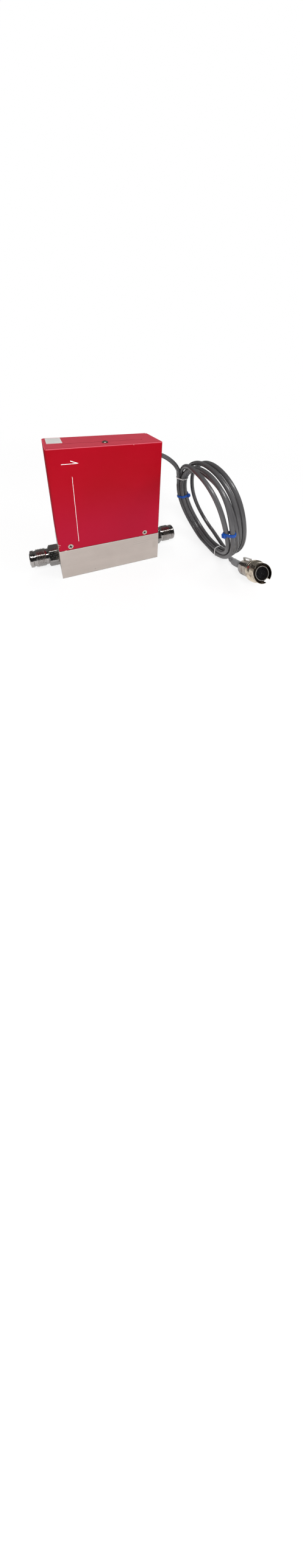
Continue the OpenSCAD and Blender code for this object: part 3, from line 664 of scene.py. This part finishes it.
def make_jacket():
    """Grey cable jacket with a soft shine and pale scuffs."""
    look = Look("jacket", (0.07, 0.069, 0.07), roughness=0.3, specular=0.8)
    fine = look.noise(1200, detail=2)
    scuff = look.noise(120, detail=5, roughness=0.7)
    cloud = look.noise(18, detail=3)
    grey = look.mix(cloud.step(0.3, 0.7), (0.055, 0.054, 0.056), (0.084, 0.082, 0.085))
    look.set("Base Color", look.mix(scuff.step(0.66, 0.86) * 0.3, grey, (0.17, 0.17, 0.17)))
    look.set("Roughness", fine * 0.04 + scuff * 0.08 + 0.17)
    look.bump(fine * 0.8 + scuff * 0.2, 0.02, 0.12)
    return look


put(make_jacket(), "cable", "inner_cable")
print("jacket done")

# %% [markdown]
# ## Plain plastics and the board
# Rubber, ceramic and moulded plastic differ in colour, in gloss and in the size of their grain. One recipe
# with those as its numbers serves the seals, the insert, the worn label on the plug and all that sits on
# the board.

# %% Plain plastics and the board


def make_plastic(name, color, roughness, scale=500, depth_mm=0.02, change=0.12, specular=0.5):
    """Moulded plastic: a fine grain in the gloss and a slow change of shade."""
    look = Look(name, color, roughness, specular=specular)
    grain = look.noise(scale, detail=3)
    cloud = look.noise(scale / 25, detail=3)
    light = tuple(min(1.0, c * (1 + change)) for c in color)
    dark = tuple(c * (1 - change) for c in color)
    look.set("Base Color", look.mix(cloud.step(0.3, 0.7), dark, light))
    look.set("Roughness", grain * 0.14 + cloud * 0.1 + (roughness - 0.12))
    look.bump(grain, depth_mm, 0.5)
    return look


put(make_plastic("rubber", (0.02, 0.02, 0.02), 0.6), "sensor_gaskets", "cable_grommet")
put(make_plastic("black_plastic", (0.012, 0.012, 0.015), 0.4), "board_chips")
put(make_plastic("header", (0.7, 0.66, 0.55), 0.4), "board_header")
put(make_plastic("board", (0.01, 0.12, 0.04), 0.3), "control_board")
put(make_plastic("ceramic", (0.6, 0.5, 0.3), 0.3), "piezo_stack")
put(make_plastic("plug_insert", (0.005, 0.0045, 0.005), 0.6, specular=0.15), "plug_insert")
put(make_plastic("worn_label", (0.4, 0.39, 0.38), 0.5, 160, change=0.3), "plug_label")
print("plastics done")

# %% [markdown]
# ## Ruled labels
# Two off-white vinyl labels are stuck on the rear and on the top. Their rows repeat at one pitch, so the
# fraction of height over pitch is small on every line, and one threshold draws them all.

# %% Ruled labels
RATING = {"x": 1.8, "half": 24.5, "z0": 78.0, "z1": 122.0, "row": 4.4, "line": 0.09}
COLUMNS = {"x": (-8, 14), "half": 0.16, "z0": 82.4, "z1": 117.6}
TOP = {"x": -51, "half": 6.4, "y0": -0.6, "y1": 22.5, "row": 4.2, "line": 0.1, "start": -1.0}


def make_label():
    """Off-white vinyl with plain ruled lines and, on the large one, two columns."""
    look = Look("label", (0.78, 0.78, 0.76), roughness=0.5)
    x, y, z = look.place()
    cloud = look.noise(40, detail=3)
    paper = look.mix(cloud.step(0.3, 0.7), (0.51, 0.495, 0.475), (0.59, 0.575, 0.55))
    row = ((z - RATING["z0"]) / RATING["row"]).maths("FRACT")
    inside = (abs(x - RATING["x"]) < RATING["half"]) * (z > RATING["z0"]) * (z < RATING["z1"])
    lines = (row < RATING["line"]) * inside
    left, right = (abs(x - at) < COLUMNS["half"] for at in COLUMNS["x"])
    columns = left.most(right) * (z > COLUMNS["z0"]) * (z < COLUMNS["z1"])
    rules = lines.most(columns) * (y > HALF_D - 0.2) * (z < COVER_Z1 - 1)
    row = ((y - TOP["start"]) / TOP["row"]).maths("FRACT")
    top = (row < TOP["line"]) * (abs(x - TOP["x"]) < TOP["half"]) * (y > TOP["y0"]) * (y < TOP["y1"])
    look.set("Base Color", look.mix(rules.most(top * (z > COVER_Z1 - 0.2)), paper, (0.3, 0.3, 0.31)))
    look.set("Roughness", cloud * 0.15 + 0.4)
    look.bump(look.noise(900), 0.01, 0.3)
    return look


put(make_label(), "rating_label", "top_label")
print("labels done")

# %% [markdown]
# ## Softened edges
# Bent sheet and cut metal have no knife edges, and it is the narrow round that catches the light. A bevel
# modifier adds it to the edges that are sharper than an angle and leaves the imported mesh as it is.

# %% Softened edges
BEVELS = {"base_block": 0.5, "front_cover": 0.22, "rear_cover": 0.22, "coupling_ring": 0.35,
          "plug_shell": 0.3, "plug_backshell": 0.25, "strain_clamp": 0.35, "plug_insert": 0.15,
          "front_cover_screws": 0.08, "rear_cover_screws": 0.08, "clamp_screws": 0.08}
BEVEL_FROM = radians(35)


def soften(obj, width_mm, segments):
    """A bevel modifier of that width."""
    bevel = obj.modifiers.new("soft_edges", "BEVEL")
    bevel.width = width_mm * MM
    bevel.segments = segments
    return bevel


for name, width in BEVELS.items():
    bevel = soften(nodes[name], width, 2)
    bevel.limit_method = "ANGLE"
    bevel.angle_limit = BEVEL_FROM
    bevel.harden_normals = True
print("bevels", len(BEVELS))

# %% [markdown]
# ## Mesh helpers
# A piece that follows a rule is a grid of points: rows along a path or profile, columns around it. numpy
# works out the whole grid at once, and one helper turns it into a mesh.

# %% Mesh helpers


def round_angles(count):
    """Equal steps round a full turn."""
    return np.linspace(0, 2 * pi, count, endpoint=False)


def units(rows):
    """Each row over its length."""
    return rows / np.linalg.norm(rows, axis=1)[:, None]


def grid_object(name, points, look, slot, caps=False, sharp=40):
    """A mesh from points[row, column] whose columns close on themselves; caps close its two ends."""
    rows, columns = points.shape[:2]
    i, k = np.meshgrid(np.arange(rows - 1), np.arange(columns), indexing="ij")
    m = (k + 1) % columns
    quads = np.stack([i * columns + k, i * columns + m, (i + 1) * columns + m, (i + 1) * columns + k], -1)
    faces = [tuple(q) for q in quads.reshape(-1, 4)]
    if caps:
        faces.append(tuple(range(columns - 1, -1, -1)))
        faces.append(tuple(range((rows - 1) * columns, rows * columns)))
    mesh = bpy.data.meshes.new(name)
    mesh.from_pydata(points.reshape(-1, 3) * MM, [], faces)
    mesh.validate()
    obj = bpy.data.objects.new(name, mesh)
    bpy.context.scene.collection.objects.link(obj)
    mesh.materials.append(look.material)
    mesh.polygons.foreach_set("use_smooth", np.ones(len(mesh.polygons), bool))
    mesh.set_sharp_from_angle(angle=radians(sharp))
    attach(obj, BODY)
    return obj


def across_path(path):
    """At each point of a path, two directions across it: one level, and one square to that."""
    along = units(np.gradient(path, axis=0))
    side = units(np.cross(along, [0, 0, 1.0]))
    return side, np.cross(side, along)


print("mesh helpers ready")

# %% [markdown]
# ## Face-seal ports
# A port is turned on a lathe, its thread is cut as a helix, and its hexagon is milled and chamfered. A
# thread could be swept along a spiral and joined to the body. Here the radius of one turned profile rises
# and falls with the distance and the angle together, which gives the same helix in one clean mesh.

# %% Face-seal ports
PORT_Z = 19.5
PITCH = 1.81
THREAD = (78.1, 88.9)
THREAD_R, ROOT_R = 11.05, 10.5
BORE_R, FADE = 4.65, 0.9
FINE, COARSE = 0.12, 0.8
PORT_STEPS, HEX_STEPS = 96, 144
# Rows are (distance from the block's middle, radius), and for the hexagon (distance, taken off the corner).
PROFILE = [(74.4, 9.7), (77.2, 9.7), (77.9, 10.0), (78.1, 10.5), (88.9, 10.5), (89.1, 9.6), (91.0, 9.5),
           (91.3, 9.8), (91.6, 10.35), (94.6, 10.35), (95.2, 10.0), (95.2, 8.0), (95.6, 7.7), (96.0, 7.3),
           (95.9, 6.9), (95.3, 6.6), (95.2, 5.0), (95.0, 4.65), (70.0, 4.6)]
HEX_FLATS, HEX_CORNER = 23.8, 13.15
HEX_ROWS = [(62.5, 4.0), (62.5, 0.9), (63.4, 0.0), (73.3, 0.0), (74.5, 1.9), (74.6, 2.2), (74.6, 4.2)]


def profile_points():
    """The turned profile with rows close enough for the thread."""
    rows = []
    for (x0, r0), (x1, r1) in zip(PROFILE[:-1], PROFILE[1:]):
        n = max(1, round(hypot(x1 - x0, r1 - r0) / (FINE if x0 == THREAD[0] else COARSE)))
        rows += [(x0 + (x1 - x0) * i / n, r0 + (r1 - r0) * i / n) for i in range(n)]
    return np.array(rows + [PROFILE[-1]])


def turned(side, x, radius, turn):
    """Radius times cosine and sine round a port's axis; the inlet's y is mirrored as its x is."""
    y, z = radius * np.cos(turn), radius * np.sin(turn)
    return np.stack([side * (x + 0 * turn), side * y, PORT_Z + z], -1)


def port_points(side):
    """The thread's radius follows a cosine of distance over pitch less the angle, and fades at its ends."""
    turn = round_angles(PORT_STEPS)
    x, r = profile_points().T[:, :, None]
    inside = (x > THREAD[0]) & (x < THREAD[1]) & (r > BORE_R)
    phase = np.mod((x - THREAD[0]) / PITCH - turn / (2 * pi), 1)
    ridge = 0.5 + 0.5 * np.cos(2 * pi * phase)
    fade = np.clip((x - THREAD[0]) / FADE, 0, 1) * np.clip((THREAD[1] - x) / FADE, 0, 1)
    radius = np.where(inside, ROOT_R + (THREAD_R - ROOT_R) * ridge * fade, r + 0 * turn)
    return turned(side, x, radius, turn)


def hex_points(side):
    """A face's radius is its distance over the cosine of the angle, cut off by the chamfer's cone."""
    turn = round_angles(HEX_STEPS)
    flat = HEX_FLATS / 2 / np.cos(np.mod(turn, pi / 3) - pi / 6)
    x, inset = np.array(HEX_ROWS).T[:, :, None]
    return turned(side, x, np.minimum(flat, HEX_CORNER - inset), turn)


polished = make_steel("polished_steel", (0.5, 0.475, 0.46), 0.13, 300, 0.05)
hex_steel = make_steel("hex_steel", (0.4, 0.385, 0.37), 0.26, 500, 0.06)
for side, node in ((-1, "inlet_fitting"), (1, "outlet_fitting")):
    body = grid_object(node + "_port", port_points(side), polished, "polished_steel", sharp=32)
    grid_object(node + "_hexagon", hex_points(side), hex_steel, "polished_steel", sharp=25)
    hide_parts(node)
print("ports done")

# %% [markdown]
# ## Top screw
# A raised button head with a round recess holds the cover's top. Head and shank are one turned form, so
# one profile gives both.

# %% Top screw
SCREW_AT, SCREW_STEPS = (0, -11.5), 48
# Rows are (radius, height over the cover).
BUTTON = [(0, -5.5), (1.5, -5.5), (1.5, -0.2), (2.9, -0.2), (2.95, 0.05), (3.4, 0.05), (3.45, 0.3),
          (3.3, 0.8), (2.9, 1.3), (2.3, 1.7), (1.5, 1.92), (1.2, 1.9), (1.05, 1.1), (0, 0.9)]


def button_points():
    """The profile's radius times cosine and sine of the angle round the screw's axis."""
    turn = round_angles(SCREW_STEPS)
    r, z = np.array(BUTTON).T[:, :, None]
    x, y = SCREW_AT
    return np.stack([x + r * np.cos(turn), y + r * np.sin(turn), COVER_Z1 + z + 0 * turn], -1)


button_steel = make_steel("button_steel", (0.5, 0.44, 0.38), 0.27, 700, 0.06)
button = grid_object("top_screw_button", button_points(), button_steel, "dark_steel")
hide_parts("top_screw")
print("top screw done")

# %% [markdown]
# ## Shrink sleeve
# The sleeve is tubing that was shrunk over the cable's end and the plug's rear, so it follows what is
# under it. It is a tube along the cable's last points, and its radius grows in soft steps.

# %% Shrink sleeve
SLEEVE_R, LIP, WIDER = 2.8, 0.8, 0.95
LIP_AT, LIP_SOFT = 0.25, 0.12
WIDER_AT, WIDER_SOFT = 7.5, 0.45
RIB, RIB_TURN = 0.06, 2.1
DENT, DENT_TURN = 0.012, 0.4
SLEEVE_AROUND = 48


def rise(along, at, soft):
    """From 0 to 1 in a soft step at a distance along a path."""
    return 1 / (1 + np.exp(-(along - at) / soft))


def sleeve_points():
    """A tube whose radius steps up at its lip and over the plug's rear, with faint ribs and dents."""
    path = smooth_path(SLEEVE, SLEEVE_STEPS)
    along = lengths_along(path)
    side, other = across_path(path)
    step = rise(along, WIDER_AT, WIDER_SOFT)
    radius = SLEEVE_R + LIP * rise(along, LIP_AT, LIP_SOFT) + WIDER * step
    radius += RIB * np.sin(along * RIB_TURN) * step
    turn = round_angles(SLEEVE_AROUND)
    ring = np.cos(turn)[None, :, None] * side[:, None] + np.sin(turn)[None, :, None] * other[:, None]
    dents = 1 + DENT * np.sin(3 * turn[None] + along[:, None] * DENT_TURN)
    return path[:, None] + ring * (radius[:, None] * dents)[..., None]


sleeve_look = make_plastic("sleeve", (0.25, 0.25, 0.255), 0.42, 900, 0.03)
sleeve = grid_object("cable_sleeve_wrap", sleeve_points(), sleeve_look, "sleeve", caps=True, sharp=60)
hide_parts("cable_sleeve")
print("sleeve", round(lengths_along(np.array(SLEEVE))[-1], 1), "mm long")

# %% [markdown]
# ## Cable ties: the band
# A tie is a strap that is pulled tight round the turns. A simulation could pull it, but the result is
# known beforehand: the band is the convex outline of the round sections that it holds, so it is worked out
# from where the cable crosses the tie's plane.

# %% Cable ties: the band
TIE_REACH, TIE_GAP = 15, 0.1
STRAND_STEPS, BAND_STEPS = 40, 96
# Corners of the band's section: out from the strands by its thickness, along the cable by its width.
BAND_EDGE = [(0, -0.5), (0.7, -0.5), (1, -0.42), (1, 0.42), (0.7, 0.5), (0, 0.5), (0, -0.5)]


def tie_frame(angle):
    """Middle of the strands at an angle, then outwards, across the coil and along the cable."""
    c, s = cos(radians(angle)), sin(radians(angle))
    middle = COIL_C + COIL_A * c * COIL_E + COIL_B * s * COIL_G
    along = unit(-COIL_A * s * COIL_E + COIL_B * c * COIL_G)
    return middle, unit(np.cross(along, COIL_N)), COIL_N, along


def crossings(angle, low, high):
    """Where the cable passes through a tie's plane between two heights, in that plane's two directions."""
    middle, out, across, along = tie_frame(angle)
    at = (cable_line - middle) @ along
    hit = np.flatnonzero(at[:-1] * at[1:] < 0)
    share = (at[hit] / (at[hit] - at[hit + 1]))[:, None]
    points = cable_line[hit] * (1 - share) + cable_line[hit + 1] * share - middle
    flat = np.stack([points @ out, points @ across], -1)
    return flat[(np.abs(flat[:, 0]) < TIE_REACH) & (flat[:, 1] > low) & (flat[:, 1] < high)]


def outline(points):
    """The convex outline of points in a plane, counter-clockwise."""
    points = sorted(map(tuple, points))

    def chain(seq):
        out = []
        for p in seq:
            while len(out) > 1 and ((out[-1][0] - out[-2][0]) * (p[1] - out[-2][1])
                                    - (out[-1][1] - out[-2][1]) * (p[0] - out[-2][0])) <= 0:
                out.pop()
            out.append(p)
        return out[:-1]

    return np.array(chain(points) + chain(points[::-1]))


def band_loop(strands):
    """Even points on the outline of the cable's round sections."""
    turn = round_angles(STRAND_STEPS)
    ring = (CABLE_R + TIE_GAP) * np.stack([np.cos(turn), np.sin(turn)], -1)
    hull = outline((strands[:, None] + ring).reshape(-1, 2))
    closed = np.vstack([hull, hull[:1]])
    along = lengths_along(closed)
    at = np.linspace(0, along[-1], BAND_STEPS, endpoint=False)
    return np.stack([np.interp(at, along, column) for column in closed.T], -1)


def band_points(loop, frame_of_tie, thick, width):
    """The loop at each corner of the band's section, which lies outside the strands."""
    middle, out, across, along = frame_of_tie
    tangent = units(np.roll(loop, -1, 0) - np.roll(loop, 1, 0))
    normal = np.stack([tangent[:, 1], -tangent[:, 0]], -1)
    rows = []
    for off, up in BAND_EDGE:
        p = loop + off * thick * normal
        rows.append(middle + p[:, :1] * out + p[:, 1:] * across + up * width * along)
    return np.array(rows)


print("band helpers ready")

# %% [markdown]
# ## Cable ties: lock and cut end
# The lock is a small block with rounded edges on the outside of the band, and the strap's cut end stands
# out of it. Two thin white ties and two wide blue ones share one function, and what differs between the
# two kinds is a small table.

# %% Cable ties: lock and cut end
CORNERS = [(sx, sy, sz) for sz in (-1, 1) for sx, sy in ((-1, -1), (1, -1), (1, 1), (-1, 1))]
LOCK_ROUND, END_ROUND = 0.4, 0.15
END_THICK, END_WIDTH, END_BESIDE, END_SUNK = 1.4, 0.85, 0.12, 0.3
white = make_plastic("white_tie", (0.72, 0.72, 0.72), 0.4, 900, 0.01)
blue = make_plastic("blue_tie", (0.004, 0.06, 0.31), 0.28, 900, 0.01)
THIN = {"finish": (white, "white_tie"), "thick": 0.5, "width": 1.3, "head": (1.8, 1.4, 2.2), "tail": 0.8}
WIDE = {"finish": (blue, "blue_tie"), "thick": 1.0, "width": 3.6, "head": (4.4, 3.2, 5.0), "tail": 1.2}
# Name, kind, angle round the coil, reach across it, and the side on which the lock sits.
TIES = [
    ("white_tie_top", THIN, {"angle": 104, "low": -9, "high": 20}, (0.6, -1)),
    ("white_tie_bottom", THIN, {"angle": 243, "low": -12, "high": 30}, (0.2, -1)),
    ("blue_tie_left", WIDE, {"angle": 138, "low": -12, "high": 20}, (-1, -0.5)),
    ("blue_tie_right", WIDE, {"angle": 320, "low": 15, "high": 40}, (0.25, 1)),
]


def slab(name, centre, axes, size, finish, round_mm):
    """A small block with rounded edges, from its middle, three directions and its size."""
    points = centre + np.array(CORNERS) * np.array(size) / 2 @ np.array(axes)
    obj = grid_object(name, points.reshape(2, 4, 3), *finish, caps=True)
    soften(obj, round_mm, 3)
    return obj


def make_tie(node, kind, held, facing):
    """A band with its lock and its cut end, at the loop's point that lies farthest in a direction."""
    finish, thick, width, head, tail = kind.values()
    tie = tie_frame(held["angle"])
    middle, out, across, along = tie
    loop = band_loop(crossings(**held))
    band = grid_object(node + "_band", band_points(loop, tie, thick, width), *finish, sharp=50)
    at = int(np.argmax(loop @ unit(facing)))
    tx, ty = unit(loop[(at + 2) % len(loop)] - loop[at - 2])
    away, beside = ty * out - tx * across, tx * out + ty * across
    axes = (beside, away, along)
    spot = loop[at] + np.array([ty, -tx]) * head[1] / 2
    centre = middle + spot[0] * out + spot[1] * across
    end = centre + (head[1] / 2 + tail / 2 - END_SUNK) * away + head[0] * END_BESIDE * beside
    end_size = (thick * END_THICK, tail, width * END_WIDTH)
    lock = slab(node + "_head", centre, axes, head, finish, LOCK_ROUND)
    stub = slab(node + "_tail", end, axes, end_size, finish, END_ROUND)
    # Children ride with their parent, so the two drop their own ride.
    for piece in (lock, stub):
        piece.parent = band
        piece.matrix_parent_inverse = Matrix.Identity(4)
        del piece["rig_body"]
    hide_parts(node)
    return band


ties = [make_tie(*row) for row in TIES]
print("ties", len(ties))

# %% [markdown]

# %% [markdown]
# ## Floor
# The object stands on a plain, nearly white ground. Lamps that make it white would light the object too
# much, so to the camera the floor is mostly a glow, with a faint shadow. To everything else it is a pale
# sheet that grows dim far out, or metal would mirror an endless white plane.

# %% Floor
FLOOR_HALF = 6
FLOOR_NEAR, FLOOR_FAR = 0.2, 0.9
FLOOR_WHITE = 0.78


def make_floor():
    """White to the camera with a faint shadow; pale near the object and dim far out to everything else."""
    mesh = bpy.data.meshes.new("floor")
    mesh.from_pydata([(x * FLOOR_HALF, y * FLOOR_HALF, 0.0) for x, y, z in CORNERS[:4]], [], [(0, 1, 2, 3)])
    floor = bpy.data.objects.new("floor", mesh)
    bpy.context.scene.collection.objects.link(floor)
    look = Look("floor", (0.86, 0.86, 0.86), roughness=0.8)
    tree = look.tree
    x, y, z = look.place()
    away = (((x ** 2.0 + y ** 2.0) ** 0.5) * MM).step(FLOOR_NEAR, FLOOR_FAR)
    shadowed, white_light = Wire(tree, look.shader.outputs[0]), add_node(tree, "Emission")
    glow = away * (1 - FLOOR_WHITE) + FLOOR_WHITE
    seen = add_node(tree, "MixShader", sockets={0: glow, 1: shadowed, 2: white_light})
    pale = look.mix(away, (0.62, 0.62, 0.62), (0.07, 0.07, 0.07))
    unseen = add_node(tree, "BsdfPrincipled", sockets={"Base Color": pale, "Roughness": 0.9})
    camera_ray = add_node(tree, "LightPath", out="Is Camera Ray")
    both = add_node(tree, "MixShader", sockets={0: camera_ray, 1: unseen, 2: seen})
    fill(tree, tree.nodes["Material Output"].inputs[0], both)
    mesh.materials.append(look.material)


make_floor()
print("floor laid")

# %% [markdown]
# ## Surroundings
# The world is white to the camera and gives matt surfaces an even pale light. Metal would turn white in it
# and lose its form, so shiny surfaces see a dark room with one soft box high in front and a grey wall
# behind.

# %% Surroundings
BOX_FRONT, BOX_BOTTOM, BOX_TOP = (-0.35, -0.2), (0.81, 0.83), (0.88, 0.9)
WALL_BEHIND = (0.0, 0.3)
BOX_LIGHT, WALL_LIGHT, ROOM_LIGHT, MATT_LIGHT = 9.0, 0.11, 0.025, 0.55


def make_world():
    """White to the camera, even for matt surfaces, and a dark room with a soft box for shiny ones."""
    world = bpy.data.worlds.new("studio")
    world.use_nodes = True
    bpy.context.scene.world = world
    tree = world.node_tree
    x, y, z = add_node(tree, "TexCoord", out="Generated").split()
    box = (1.0 - y.step(*BOX_FRONT)) * z.step(*BOX_BOTTOM) * (1.0 - z.step(*BOX_TOP)) * BOX_LIGHT
    room = box + y.step(*WALL_BEHIND) * WALL_LIGHT + ROOM_LIGHT
    camera_ray = add_node(tree, "LightPath", out="Is Camera Ray")
    glossy = add_node(tree, "LightPath", out="Is Glossy Ray")
    light = (1.0 - glossy) * MATT_LIGHT + glossy * room
    sky = tree.nodes["Background"]
    fill(tree, sky.inputs["Color"], (1, 1, 1, 1))
    fill(tree, sky.inputs["Strength"], camera_ray + (1.0 - camera_ray) * light)


make_world()
print("surroundings ready")

# %% [markdown]
# ## Lamps
# Three area lamps give the light its direction: a key light in front, a weaker one from the right and a
# faint one from behind. Large lamps make soft shadows, and they don't show in reflections, where the soft
# box does their part.

# %% Lamps
LAMPS = {
    "key": {"at": (-0.5, -1.3, 1.25), "towards": (0, 0, 0.08), "size": (0.6, 0.5), "power": 28},
    "fill": {"at": (1.2, -0.9, 0.8), "towards": (0.05, 0, 0.08), "size": (0.5, 0.6), "power": 8},
    "back": {"at": (0.4, 1.2, 1.2), "towards": (0, 0, 0.1), "size": (0.9, 0.5), "power": 5},
}


def area_light(name, at, towards, size, power):
    """A rectangle of light at a place in metres that faces another place."""
    data = bpy.data.lights.new(name, "AREA")
    data.shape = "RECTANGLE"
    data.size, data.size_y = size
    data.energy = power
    lamp = bpy.data.objects.new(name, data)
    bpy.context.scene.collection.objects.link(lamp)
    lamp.visible_glossy = False
    lamp.location = at
    lamp.rotation_mode = "QUATERNION"
    lamp.rotation_quaternion = (Vector(towards) - Vector(at)).to_track_quat("-Z", "Y")


for name, lamp in LAMPS.items():
    area_light(name, **lamp)
bpy.context.scene.view_settings.view_transform = "Standard"
print("lamps", len(LAMPS))
